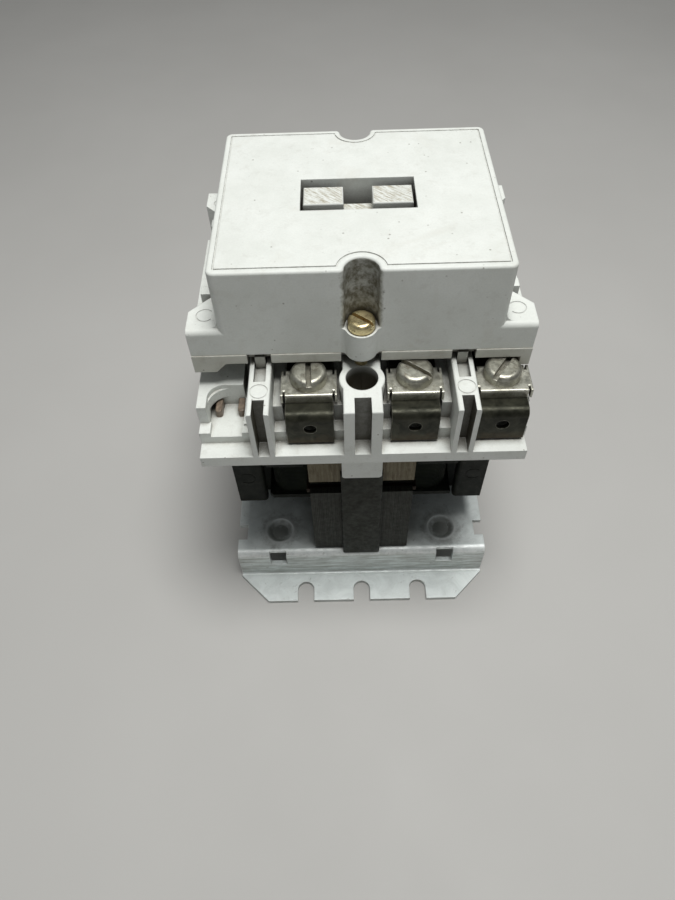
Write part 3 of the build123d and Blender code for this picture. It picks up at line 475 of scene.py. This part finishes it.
def plate_zinc():
    """Grey zinc plating with painted highlights on the folds, level streaks that also darken the
    risers as painted shade, oily dimples with painted highlights on their rims, and painted shade on
    the platform under the magnet.
    """
    tree = Tree("plate_zinc", metallic=0.35)
    x, y, z = tree.axes()
    from_middle = tree.math("ABSOLUTE", x)
    out = tree.math("ABSOLUTE", y)
    cloud = tree.patches(0.16, 0.36, 0.64, detail=6, rough=0.65, warp=1.2)
    colour = tree.blend(cloud, (0.66, 0.71, 0.70), (0.82, 0.88, 0.87))
    spangle = tree.span(tree.cells(0.45, output="Color"), 0.0, 1.0, 0.0, 0.3)
    colour = tree.blend(spangle, colour, (0.86, 0.90, 0.90))

    # Level streaks on the risers, which also darken them as painted shade.
    drawn = tree.stretched((0.10, 1.0, 1.5))
    streaks = tree.patches(1.0, 0.42, 0.62, 0.1, 0.75, detail=4, rough=0.7, at=drawn)
    riser_shade_mask = tree.span(tree.facing(1), 0.5, 0.9)
    colour = tree.blend(tree.times(streaks, riser_shade_mask), colour, (0.27, 0.275, 0.24))

    # A painted highlight along the folds, where the bend would catch the overhead light, broken into
    # patches.
    from_fold = tree.math("MAXIMUM", tree.apart(out, FOLD_Y), tree.apart(z, PLATFORM_Z - 0.6))
    highlight_patches = tree.patches(0.6, 0.3, 0.6, 0.3, 0.9)
    fold_highlight = tree.times(tree.span(from_fold, 1.6, 0.5), highlight_patches)
    colour = tree.blend(fold_highlight, colour, (0.93, 0.96, 0.95))

    along = tree.math("SUBTRACT", out, DIMPLE_Y)
    from_dimple = tree.distance(tree.math("SUBTRACT", from_middle, DIMPLE_X), along)
    spread = tree.patches(0.35, 0.2, 0.8, -3.5, 3.5, detail=5, rough=0.7)
    oil = tree.span(tree.math("ADD", from_dimple, spread), 7.5, 2.5, 0.0, 0.7)
    colour = tree.blend(oil, colour, OIL_AND_SHADE)
    # A painted highlight on the rim of each dimple.
    rim_highlight = tree.span(tree.apart(from_dimple, DIMPLE_R), 1.0, 0.2, 0.0, 0.7)
    near_top = tree.span(z, PLATFORM_Z - 0.54, PLATFORM_Z - 0.14)
    colour = tree.blend(tree.times(rim_highlight, near_top), colour, (0.80, 0.84, 0.83))

    # Painted shade on the platform under the magnet, in the oil colour.
    waver = tree.patches(0.2, 0.2, 0.8, -4.0, 4.0, detail=4)
    under_magnet = tree.span(tree.math("ADD", from_middle, waver), 21.0, 13.0)
    inside_fold = tree.span(out, 34.0, 31.5)
    on_top = tree.span(z, PLATFORM_Z - 0.64, PLATFORM_Z - 0.14)
    magnet_shade = tree.times(under_magnet, on_top, inside_fold, 0.5)
    colour = tree.blend(magnet_shade, colour, OIL_AND_SHADE)

    spots = tree.patches(0.45, 0.61, 0.73, 0.0, 0.6, detail=5, rough=0.75)
    spots = tree.math("MAXIMUM", spots, tree.times(tree.corners(2.5), 0.7))
    colour = tree.blend(spots, colour, (0.15, 0.14, 0.11))
    worn = tree.worn_edges(0.3, 0.9, 0.3, 0.55, 0.4, 1.0)
    colour = tree.blend(worn, colour, (0.95, 0.97, 0.96))
    tree.relief(tree.noise(1.5, detail=5, rough=0.65), 0.04, edge=0.3)
    return tree.finish(colour, 0.36, 0.60, per_mm=0.5, detail=5)


def laminated(name, light, dark, stain):
    """A stack of steel laminations: thin sheets across X, each with its own tone."""
    sheet_mm = 0.5
    tree = Tree(name, metallic=0.4, specular=0.2)
    x = tree.axes()[0]
    sheet = tree.math("FLOOR", tree.math("DIVIDE", x, sheet_mm))
    tone = tree.nodes.new("ShaderNodeTexWhiteNoise")
    tone.noise_dimensions = "1D"
    tree.links.new(sheet, tone.inputs["W"])
    colour = tree.blend(tone.outputs["Value"], dark, light)
    upright = tree.stretched((2.0, 0.4, 0.25))
    streaks = tree.patches(1.0, 0.45, 0.70, 0.0, 0.8, detail=5, rough=0.7, at=upright)
    colour = tree.blend(streaks, colour, stain)
    worn = tree.worn_edges(0.3, 1.0, 0.4, 0.6, 0.0, 0.5)
    colour = tree.blend(worn, colour, shade(light, 1.6, lift=0.04))
    seam = tree.math("PINGPONG", x, sheet_mm / 2)
    tree.relief(tree.span(seam, 0.0, 0.1), 0.05, edge=0.2)
    return tree.finish(colour, 0.42, 0.65, per_mm=0.7, detail=4)


def core_steel():
    light = (0.036, 0.038, 0.031)
    return laminated("core_steel", light, (0.024, 0.026, 0.021), (0.014, 0.012, 0.008))


def armature_steel():
    light = (0.20, 0.175, 0.12)
    return laminated("armature_steel", light, (0.15, 0.13, 0.085), (0.07, 0.052, 0.03))


def strip_steel():
    """Dark plated strip that turns brown towards the bottom of its legs."""
    tree = Tree("strip_steel", metallic=0.6, specular=0.2)
    cloud = tree.patches(0.3, 0.35, 0.65, detail=5, rough=0.65, warp=0.8)
    colour = tree.blend(cloud, (0.014, 0.0145, 0.010), (0.044, 0.044, 0.032))
    waver = tree.patches(0.6, 0.2, 0.8, -1.5, 1.5, detail=4)
    level = tree.math("ADD", tree.axes()[2], waver)
    brown = tree.span(level, STRIP_LEG_Z + 3.2, STRIP_LEG_Z + 0.2, 0.0, 0.5)
    colour = tree.blend(brown, colour, (0.075, 0.052, 0.030))
    worn = tree.worn_edges(0.3, 1.0, 0.3, 0.6, 0.1, 0.9)
    colour = tree.blend(worn, colour, (0.42, 0.41, 0.35))
    drawn = tree.turned(8, (0.4, 3.0, 0.4))
    tree.relief(tree.noise(2.0, detail=4, rough=0.7, at=drawn), 0.03, edge=0.25)
    return tree.finish(colour, 0.30, 0.55, detail=5)


SLOT_MATERIALS = {
    "zinc_steel": zinc_steel(),
    "black_plastic": black_plastic(),
    "core_steel": core_steel(),
    "armature_steel": armature_steel(),
    "coil_tape": wound_tape(),
    "rubber": rubber(),
    "screw_steel": screw_steel(),
    "plated_clamp": plated_clamp(),
    "contact_strip": strip_steel(),
    "silver": silver(),
    "yellow_zinc": yellow_zinc(),
    "phenolic": phenolic(),
    "spring_steel": spring_steel(),
}
NODE_MATERIALS = {
    "base_plate": plate_zinc(),
    "contact_base": base_plastic(),
    "cover": cover_plastic(),
    "mid_frame": aged_plastic(),
    "carrier": scratched_plastic(),
    "shading_rings": dark_copper(),
    "core_guide_straps": strap_steel(),
}


def dress_nodes():
    """Gives every CAD node its own material, or else its slot's."""
    for row in frame["record"]["subparts"]:
        piece = NODES[row["node"]]
        material = NODE_MATERIALS.get(row["node"]) or SLOT_MATERIALS[row["material_slot"]]
        piece.data.materials.clear()
        piece.data.materials.append(material)


# ---- copies of the springs ----
def spring_copy(node):
    """A copy of a spring's mesh that stands for the CAD node, which it hides."""
    piece = bpy.data.objects.new(node + "_live", NODES[node].data.copy())
    bpy.context.scene.collection.objects.link(piece)
    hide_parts(node)
    return piece


def shortening_spring(node, body):
    """A spring along Z, copied with a mesh of its own and attached to its body."""
    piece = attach(spring_copy(node), body)
    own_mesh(piece)


def stretching_spring(node):
    """A spring along Y, copied with its place baked into its mesh."""
    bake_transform(spring_copy(node))


def live_springs():
    """Every spring, copied; the upright ones are attached to their bodies."""
    shortening_spring("return_springs", "chassis")
    for pole in (2, 3, 4):
        shortening_spring(f"contact_spring_{pole}", "carriage")
    stretching_spring("latch_spring")


# ---- surroundings ----
def pale_floor():
    """A painted floor, a little uneven in tone."""
    bpy.ops.mesh.primitive_plane_add(size=6.0, location=(0, 0, 0))
    floor = bpy.context.object
    floor.name = "floor"
    tree = Tree("floor_paint", specular=0.2)
    cloud = tree.patches(0.01, 0.3, 0.7)
    colour = tree.blend(cloud, (0.53, 0.525, 0.51), (0.56, 0.555, 0.54))
    floor.data.materials.append(tree.finish(colour, 0.60, 0.75, per_mm=0.05))


def area_light(name, place, aim, size, watts, colour):
    """A round soft light of that size at a place, turned towards its aim."""
    data = bpy.data.lights.new(name, "AREA")
    data.shape = "DISK"
    data.size = size
    data.energy = watts
    data.color = colour
    lamp = bpy.data.objects.new(name, data)
    bpy.context.scene.collection.objects.link(lamp)
    lamp.location = place
    lamp.rotation_euler = (Vector(aim) - Vector(place)).to_track_quat("-Z", "Y").to_euler()


def studio_light():
    """A warm key light overhead, a weak cool fill in front and a dim even sky."""
    warm = (1.0, 0.995, 0.97)
    cool = (0.96, 0.98, 1.0)
    area_light("key", place=(0.05, -0.05, 0.62), aim=(0, 0, 0.08), size=0.26, watts=3.1, colour=warm)
    area_light("fill", place=(0.1, -0.9, 0.6), aim=(0, 0, 0.05), size=0.8, watts=0.2, colour=cool)
    world = bpy.data.worlds.new("studio")
    world.use_nodes = True
    sky = world.node_tree.nodes["Background"]
    sky.inputs["Color"].default_value = (0.93, 0.95, 0.95, 1)
    sky.inputs["Strength"].default_value = 0.14
    bpy.context.scene.world = world


def photo_camera():
    """The camera where the photograph was taken from."""
    data = bpy.data.cameras.new("photo_camera")
    data.sensor_width = SENSOR
    data.lens = LENS
    data.clip_start = 0.005
    camera = bpy.data.objects.new("photo_camera", data)
    bpy.context.scene.collection.objects.link(camera)
    yaw = Matrix.Rotation(CAMERA_YAW, 4, "Z")
    tilt = Matrix.Rotation(CAMERA_TILT, 4, "X")
    roll = Matrix.Rotation(CAMERA_ROLL, 4, "Z")
    camera.matrix_world = Matrix.Translation(CAMERA_AT) @ yaw @ tilt @ roll
    bpy.context.scene.camera = camera


dress_nodes()
live_springs()
pale_floor()
studio_light()
photo_camera()
bpy.context.scene.view_settings.view_transform = "Standard"
